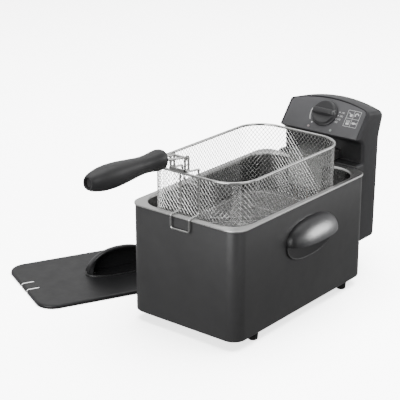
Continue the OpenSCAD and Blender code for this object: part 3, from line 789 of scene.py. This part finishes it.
def make_lid_handle():
    """Oval foot with a beaded edge and an arched hood, open on the side away from the lid's slots."""
    mid, half_l, foot_w, n = 163.0, 58.0, 23, 48
    ts = [half_l * math.cos(math.pi * i / n) for i in range(n + 1)]
    outline = [(side_outline(t, foot_w, half_l, 2.1), t) for t in ts]
    outline += [(-side_outline(t, foot_w, half_l, 2.1), t) for t in ts[-2:0:-1]]
    loops = []
    for z, shrink in ((0, 0.0), (1.2, 0), (2.1, 0.5), (2.5, 1.4), (2.4, 2.8), (1.9, 3.6)):
        loops.append([on_lid(x * (1 - shrink / foot_w), mid + y * (1 - shrink / half_l), LID_H + z)
                      for x, y in outline])
    verts, faces = loft(loops, cap_first=True, cap_last=True)
    add_piece("lid_handle_foot", verts, faces, "black_plastic", "lid", ["lid_handle"], angle=35)
    high, hood_l, base = 45.0, 53.5, 1.9
    back, front, thick, lip = -15.0, 13.5, 4.2, 2.6
    loops = []
    for i in range(n + 1):
        t = hood_l * math.cos(math.pi * i / n)
        rise = side_outline(t, high, hood_l, 2.25)
        hollow = side_outline(t, high - thick, hood_l - 6, 2.25)
        reach = (front - back) * (0.45 + 0.55 * rise / high)
        section = [(back + reach * (1 - math.cos(a)), rise * math.sin(a))
                   for a in (math.pi / 2 * k / 16 for k in range(17))]
        edge = min(lip, rise / 2)
        section += [(back + reach + edge * math.sin(a) * 0.9, rise - edge + edge * math.cos(a))
                    for a in (math.pi * k / 8 for k in range(1, 8))]
        deep = max(reach - thick, 0.5)
        ceiling = min(hollow, max(rise - 2 * edge, 0))
        section += [(back + thick + deep * (1 - math.cos(a)), ceiling * math.sin(a))
                    for a in (math.pi / 2 * k / 14 for k in range(14, -1, -1))]
        loops.append([on_lid(x, mid + t, LID_H + base + max(z, 0)) for x, z in section])
    verts, faces = loft(loops, cap_first=True, cap_last=True)
    hood = add_piece("lid_handle_hood", verts, faces, "black_plastic", "lid", angle=50)
    weld(hood)


# ---------------------------------------------------------------- control unit
PANEL_Y, PANEL_Z, TILT = 174.0, 231.0, math.radians(51.4)
ARCH_R, ARCH_TOP, ARCH_Y, SLOPE = 246.0, 280.0, 212.0, math.tan(math.radians(8))
HEAD_W, FASCIA_W, PANEL_ARCH = 152.0, 144.0, 62.0
COLUMN_Y, COLUMN_Z, RIM_Z, RECESS_Y = 171.5, 54.0, 187.0, 192.0
REAR_Y, HEAD_REAR_Y, KINK_Y, KINK_Z = 235.0, 254.0, 238.0, 224.0


def on_panel(x, up, out=0.0):
    """Fryer millimetres from the panel's own: across, up the slope, and out of it."""
    c, s = math.cos(TILT), math.sin(TILT)
    return (x, PANEL_Y + up * c - out * s, PANEL_Z + up * s + out * c)


def arch_drop(x):
    """How far the head's arched top is below its middle at x."""
    return ARCH_R - math.sqrt(ARCH_R ** 2 - x * x)


def fillet_2d(corners, steps=6):
    """Closed outline from (y, z, radius) corners, each rounded; every corner gives steps + 1 points."""
    out = []
    n = len(corners)
    for i, (y, z, r) in enumerate(corners):
        p = Vector((y, z))
        a = Vector(corners[i - 1][:2]) - p
        b = Vector(corners[(i + 1) % n][:2]) - p
        limit = min(a.length, b.length) * 0.48
        a.normalize()
        b.normalize()
        half = a.angle(b) / 2
        reach = min(max(r, 0.02) / math.tan(half), limit)
        r = reach * math.tan(half)
        centre = p + (a + b).normalized() * (r / math.sin(half))
        start, end = p + a * reach - centre, p + b * reach - centre
        a0 = math.atan2(start.y, start.x)
        sweep = (math.atan2(end.y, end.x) - a0 + math.pi) % (2 * math.pi) - math.pi
        turns = [a0 + sweep * k / steps for k in range(steps + 1)]
        out += [(centre.x + r * math.cos(turn), centre.y + r * math.sin(turn)) for turn in turns]
    return out


def inset(corners, d):
    """The same corners with every edge moved inwards by d; the outline runs anticlockwise."""
    n = len(corners)
    lines = []
    for i in range(n):
        a, b = Vector(corners[i][:2]), Vector(corners[(i + 1) % n][:2])
        along = (b - a).normalized()
        normal = Vector((-along.y, along.x))
        lines.append((a + normal * d, along))
    out = []
    for i in range(n):
        (p, u), (q, v) = lines[i - 1], lines[i]
        cross = u.x * v.y - u.y * v.x
        if abs(cross) < 1e-6:
            spot = q
        else:
            t = ((q.x - p.x) * v.y - (q.y - p.y) * v.x) / cross
            spot = p + u * t
        turn = cross > 0
        out.append((spot.x, spot.y, max(corners[i][2] + (-d if turn else d), 0.3)))
    return out


def head_corners(x):
    """Side view of the head and column at distance x from its middle, anticlockwise seen from the left."""
    top = ARCH_TOP - arch_drop(x)
    c, s = math.cos(TILT), math.sin(TILT)
    front_up = (top - SLOPE * (PANEL_Y - ARCH_Y) - PANEL_Z) / (s + SLOPE * c)
    front = (PANEL_Y + front_up * c, PANEL_Z + front_up * s)
    lean = (HEAD_REAR_Y - KINK_Y) / (ARCH_TOP - SLOPE * (HEAD_REAR_Y - ARCH_Y) - KINK_Z)
    rear_top = (top + SLOPE * (ARCH_Y - KINK_Y + lean * KINK_Z)) / (1 + SLOPE * lean)
    rear = KINK_Y + lean * (rear_top - KINK_Z)
    return [(COLUMN_Y, COLUMN_Z, 3), (REAR_Y, COLUMN_Z, 7), (KINK_Y, KINK_Z, 30), (rear, rear_top, 9),
            (front[0], front[1], 4.0), (PANEL_Y, PANEL_Z, 1.6), (RECESS_Y - 2, 222.0, 14),
            (RECESS_Y, RIM_Z + 2, 1.0), (COLUMN_Y, RIM_Z + 2, 1.5)]


def make_control_shell():
    """Head and column in one moulding, with round side edges, a seat for the panel, a groove and a window."""
    edge = 5.0
    side_edge = [(HEAD_W / 2 - edge * (1 - math.sin(a)), edge * (1 - math.cos(a)))
                 for a in (math.pi / 2 * i / 6 for i in range(7))]
    across = [(-x, d) for x, d in side_edge[::-1]]
    across += [(6 * i, 0.0) for i in range(-11, 12)]
    across += side_edge
    loops = []
    for x, d in across:
        outline = fillet_2d(inset(head_corners(x), d), 6)
        loops.append([(x, y, z) for y, z in outline])
    verts, faces = loft(loops, cap_first=True, cap_last=True)
    shell = add_piece("control_cover", verts, faces, "head_plastic", "control_unit", ["control_shell"])
    seat = fascia_solid(0.0, -3.0, 12.0)
    groove_side = [(COLUMN_Y - 2, RIM_Z - 4), (COLUMN_Y + 1.2, RIM_Z - 4), (COLUMN_Y + 1.2, COLUMN_Z + 8),
                   (COLUMN_Y - 2, COLUMN_Z + 8)]
    slot = loft([[(x, y, z) for y, z in groove_side] for x in (-HEAD_W / 2 + 6, HEAD_W / 2 - 6)],
                cap_first=True, cap_last=True)
    window = box_solid(-32.2, 32.2, RECESS_Y - 4, RECESS_Y + 8, RIM_Z + 2.5, RIM_Z + 18.5)
    cut(shell, seat, slot, window)
    # Faces in the recess under the panel take the darker black plastic: painted shade in the recess.
    shell.data.materials.append(MATERIALS["black_plastic"])
    for face in shell.data.polygons:
        spot = (face.center - at(0, 0, 0)) / MM
        if RIM_Z + 1 < spot.z < PANEL_Z - 1 and spot.y < RECESS_Y + 1 and abs(spot.x) < HEAD_W / 2 - 4:
            face.material_index = 1


def box_solid(x0, x1, y0, y1, z0, z1):
    loops = [[(x0, y0, z), (x1, y0, z), (x1, y1, z), (x0, y1, z)] for z in (z0, z1)]
    return loft(loops, cap_first=True, cap_last=True)


def fascia_loop(gap, out):
    """Outline of the inset panel: straight sides and foot, arched top, round upper corners."""
    corner, steps = 7.0, 24
    half = FASCIA_W / 2 - gap

    def arch(x):
        return PANEL_ARCH - arch_drop(x) - 2.2 * gap

    side = [(half, gap), (half, arch(half) - corner)]
    for k in range(1, 6):
        a = math.radians(90 * k / 6)
        x = half - corner * (1 - math.cos(a))
        side.append((x, arch(x) - corner * (1 - math.sin(a))))
    xs = [(half - corner) * (1 - 2 * k / steps) for k in range(steps + 1)]
    points = side + [(x, arch(x)) for x in xs] + [(-x, up) for x, up in side[::-1]]
    return [on_panel(x, up, out) for x, up in points]


def fascia_solid(gap, low, high):
    """Block with the panel's outline, from low to high out of its face."""
    return loft([fascia_loop(gap, low), fascia_loop(gap, high)], cap_first=True, cap_last=True)


def make_fascia():
    """Inset panel plate with a soft edge."""
    loops = [fascia_loop(0.9, -3.0), fascia_loop(0.9, -0.7), fascia_loop(1.15, -0.25), fascia_loop(1.6, 0.0)]
    verts, faces = loft(loops, cap_first=True, cap_last=True)
    add_piece("fascia_plate", verts, faces, "panel_plastic", "control_unit", ["control_panel"], angle=30)


KNOB_UP = 33.0


def make_knob():
    """Knob with a skirt, a round body and a finger bar that flares into it."""
    up, r = KNOB_UP, 22.5
    profile = [(r - 0.4, 0.6), (r, 1.1), (r, 2.6), (r - 0.8, 3.3), (20.9, 3.6), (20.4, 4.1), (19.9, 7.9),
               (19.4, 8.8), (18.4, 9.3), (17.0, 9.1), (10, 8.2), (4, 8.0)]
    steps = 72
    loops = [[on_panel(q * math.cos(2 * math.pi * i / steps), up + q * math.sin(2 * math.pi * i / steps), h)
              for i in range(steps)] for q, h in profile]
    verts, faces = loft(loops, cap_first=True, cap_last=True)
    add_piece("knob_body", verts, faces, "knob_plastic", "knob", ["thermostat_knob"], angle=50)
    bar = []
    reach, foot, bar_h, bar_w = 19.6, 7.7, 6.6, 4.6
    for k in range(33):
        u = math.cos(math.pi * k / 32)
        end = math.sqrt(max(1 - u ** 8, 0.0))
        h = foot + 0.2 + bar_h * end
        w = bar_w * (0.75 + 0.25 * end)
        half = [(w + 2.0, foot), (w + 0.8, foot + end), (w + 0.15, foot + 2.2 * end), (w, h - 1.6 * end),
                (w - 0.5, h - 0.6 * end), (w - 1.7, h - 0.1 * end), (w * 0.3, h)]
        section = half + [(-q, z) for q, z in half[::-1]]
        bar.append([on_panel(reach * u, up + q, z) for q, z in section])
    verts, faces = loft(bar, cap_first=True, cap_last=True)
    add_piece("knob_bar", verts, faces, "knob_plastic", "knob", angle=60)


# ---------------------------------------------------------------- print on the panel
INK_OUT = 0.06


def ink_ribbon(points, width):
    """Thin printed line through (x, up) points."""
    left, right = [], []
    for i, p in enumerate(points):
        a, b = points[max(i - 1, 0)], points[min(i + 1, len(points) - 1)]
        d = Vector((b[0] - a[0], b[1] - a[1])).normalized()
        left.append(on_panel(p[0] - d.y * width / 2, p[1] + d.x * width / 2, INK_OUT))
        right.append(on_panel(p[0] + d.y * width / 2, p[1] - d.x * width / 2, INK_OUT))
    n = len(points)
    return left + right, [(i, i + 1, n + i + 1, n + i) for i in range(n - 1)]


def ink_shape(points):
    """Filled printed shape inside (x, up) points."""
    return [on_panel(x, up, INK_OUT) for x, up in points], [tuple(range(len(points)))]


def ink_oval(x, up, wide, high):
    turns = [2 * math.pi * i / 16 for i in range(16)]
    return ink_shape([(x + wide * math.cos(a), up + high * math.sin(a)) for a in turns])


def ink_dot(x, up, r):
    return ink_oval(x, up, r, r)


def make_print():
    """Generic dial marks: an arc, dots, temperatures and a small chart of food kinds."""
    marks = []
    arc_r = 27.2
    sweep = [math.radians(a) for a in range(168, 214, 4)]
    marks.append(ink_ribbon([(arc_r * math.cos(a), KNOB_UP + arc_r * math.sin(a)) for a in sweep], 1.3))
    marks.append(ink_dot(-18.0, 14.6, 1.3))
    numbers = ((24.6, 40.4, "190"), (24.0, 34.2, "180"), (21.6, 28.2, "170"), (18.2, 23.0, "150"))
    for x, up, _ in numbers:
        marks.append(ink_dot(x, up, 1.0))
    left, right, low, high, half_up = 39.0, 62.5, 19.5, 47.5, 33.5
    half_x = (left + right) / 2
    for line in ([(left, low), (right, low)], [(right, low), (right, high)],
                 [(right, high), (left, high)], [(left, high), (left, low)],
                 [(left, half_up), (right, half_up)], [(half_x, low), (half_x, high)]):
        marks.append(ink_ribbon(line, 0.6))
    for cx, cy, kind in ((45, 40.5, 0), (56.5, 40.5, 1), (45, 26.5, 2), (56.5, 26.5, 3)):
        marks += pictogram(cx, cy, kind)
    verts, faces = merged(marks)
    add_piece("panel_marks", verts, faces, "ink", "control_unit", smooth=False)
    for x, up, text in numbers:
        print_text(f"panel_number_{text}", text, x + 2.6, up - 1.5, 4.2)


def pictogram(cx, cy, kind):
    """Simple food signs: drumstick, prawn, sticks in a tray, fish."""
    parts = []
    if kind == 0:
        parts.append(ink_ribbon([(cx - 3.4, cy + 3), (cx + 1, cy - 1)], 1.0))
        parts.append(ink_dot(cx + 1.6, cy - 1.6, 2.6))
    elif kind == 1:
        parts.append(ink_ribbon([(cx + 3 * math.cos(a / 10), cy + 3 * math.sin(a / 10))
                                      for a in range(0, 44, 4)], 1.8))
    elif kind == 2:
        parts += [ink_ribbon([(cx - 2.4 + 1.6 * k, cy - 1), (cx - 3 + 2 * k, cy + 4)], 0.8) for k in range(4)]
        parts.append(ink_ribbon([(cx - 3, cy - 2.6), (cx + 3, cy - 2.6)], 3))
    else:
        parts.append(ink_oval(cx - 0.6, cy, 3.6, 1.9))
        parts.append(ink_shape([(cx + 2.4, cy), (cx + 4.6, cy + 2), (cx + 4.6, cy - 2)]))
    return parts


def print_text(name, text, x, up, size):
    """Printed number, made flat from a font curve and laid on the panel."""
    curve = bpy.data.curves.new(name, "FONT")
    curve.body = text
    curve.size = size
    source = bpy.data.objects.new("text", curve)
    bpy.context.scene.collection.objects.link(source)
    bpy.context.view_layer.update()
    mesh = bpy.data.meshes.new_from_object(source.evaluated_get(bpy.context.evaluated_depsgraph_get()))
    bpy.data.objects.remove(source)
    for v in mesh.vertices:
        v.co = at(*on_panel(x + v.co.x, up + v.co.y, INK_OUT))
    mesh.materials.clear()
    finish_piece(name, mesh, "ink", "control_unit", smooth=False)


# ---------------------------------------------------------------- build
make_housing()
make_pan()
make_basket_mesh()
make_basket_floor()
make_seam_strip()
make_grip()
make_bracket()
make_side_grip(-1, "side_grip_left")
make_side_grip(1, "side_grip_right")
make_lid()
make_lid_handle()
make_control_shell()
make_fascia()
make_knob()
make_print()

slots = {row["node"]: row["material_slot"] for row in frame["record"]["subparts"]}
for name, node in frame["nodes"].items():
    mesh = node.data
    mesh.materials.clear()
    mesh.materials.append(MATERIALS[slots[name]])


# ---------------------------------------------------------------- floor and light
def make_floor():
    """Pale worktop. It glows a little and has its own light, so it is near white round the black fryer."""
    size = 8.0
    mesh = bpy.data.meshes.new("floor")
    mesh.from_pydata([(-size, -size, -0.0002), (size, -size, -0.0002), (size, size, -0.0002),
                      (-size, size, -0.0002)], [], [(0, 1, 2, 3)])
    floor = bpy.data.objects.new("floor", mesh)
    bpy.context.scene.collection.objects.link(floor)
    pale = new_material("pale_floor", (0.9, 0.9, 0.9), 0.8, specular=0.1)
    shader = pale.node_tree.nodes["Principled BSDF"]
    shader.inputs["Emission Color"].default_value = (1, 1, 1, 1)
    shader.inputs["Emission Strength"].default_value = 2.4
    mesh.materials.append(pale)
    floor.visible_diffuse = False
    floor.visible_glossy = False
    light = add_light("floor_light", (200, 500, 3000), (0, 0, 0), 900, 3.5, 3.5)
    light_only(light, [floor])


def add_light(name, spot, target, power, size_x, size_y):
    data = bpy.data.lights.new(name, "AREA")
    data.shape = "RECTANGLE"
    data.size, data.size_y = size_x, size_y
    data.energy = power
    light = bpy.data.objects.new(name, data)
    bpy.context.scene.collection.objects.link(light)
    light.location = at(*spot)
    light.rotation_mode = "QUATERNION"
    light.rotation_quaternion = (at(*target) - light.location).to_track_quat("-Z", "Y")
    return light


def light_only(light, objects):
    """The light falls on these objects and on nothing else."""
    group = bpy.data.collections.new(light.name + "_receivers")
    for obj in objects:
        group.objects.link(obj)
    light.light_linking.receiver_collection = group


def make_world():
    """Studio surroundings: bright behind and above the fryer, dark in front of it."""
    world = bpy.data.worlds.new("studio")
    bpy.context.scene.world = world
    world.use_nodes = True
    nodes, links = world.node_tree.nodes, world.node_tree.links
    coords = nodes.new("ShaderNodeTexCoord")
    facing = nodes.new("ShaderNodeVectorMath")
    facing.operation = "DOT_PRODUCT"
    facing.inputs[1].default_value = Vector((-0.5, 0.6, 0.62)).normalized()
    level = nodes.new("ShaderNodeMapRange")
    level.inputs["From Min"].default_value = -0.3
    level.inputs["From Max"].default_value = 0.9
    level.inputs["To Min"].default_value = 0.2
    level.inputs["To Max"].default_value = 0.95
    nodes["Background"].inputs["Color"].default_value = (1, 1, 1, 1)
    links.new(coords.outputs["Generated"], facing.inputs[0])
    links.new(facing.outputs["Value"], level.inputs["Value"])
    links.new(level.outputs["Result"], nodes["Background"].inputs["Strength"])


TRIM = ("side_hood_left", "side_hood_right", "lid_handle_hood", "knob_body", "knob_bar")
make_floor()
make_world()
add_light("top", (-100, 100, 1500), (0, 0, 100), 7, 1.5, 1.1)
add_light("rear_right", (1150, 1350, 460), (100, 0, 130), 5, 1.1, 0.7)
add_light("right", (1600, -200, 700), (100, 0, 130), 5, 1.0, 1.0)
add_light("front", (0, -1600, 700), (0, 0, 130), 22, 1.4, 1.0)
light_only(add_light("trim_light", (1250, 1100, 520), (100, 0, 130), 70, 0.9, 0.7),
           [bpy.data.objects[name] for name in TRIM])
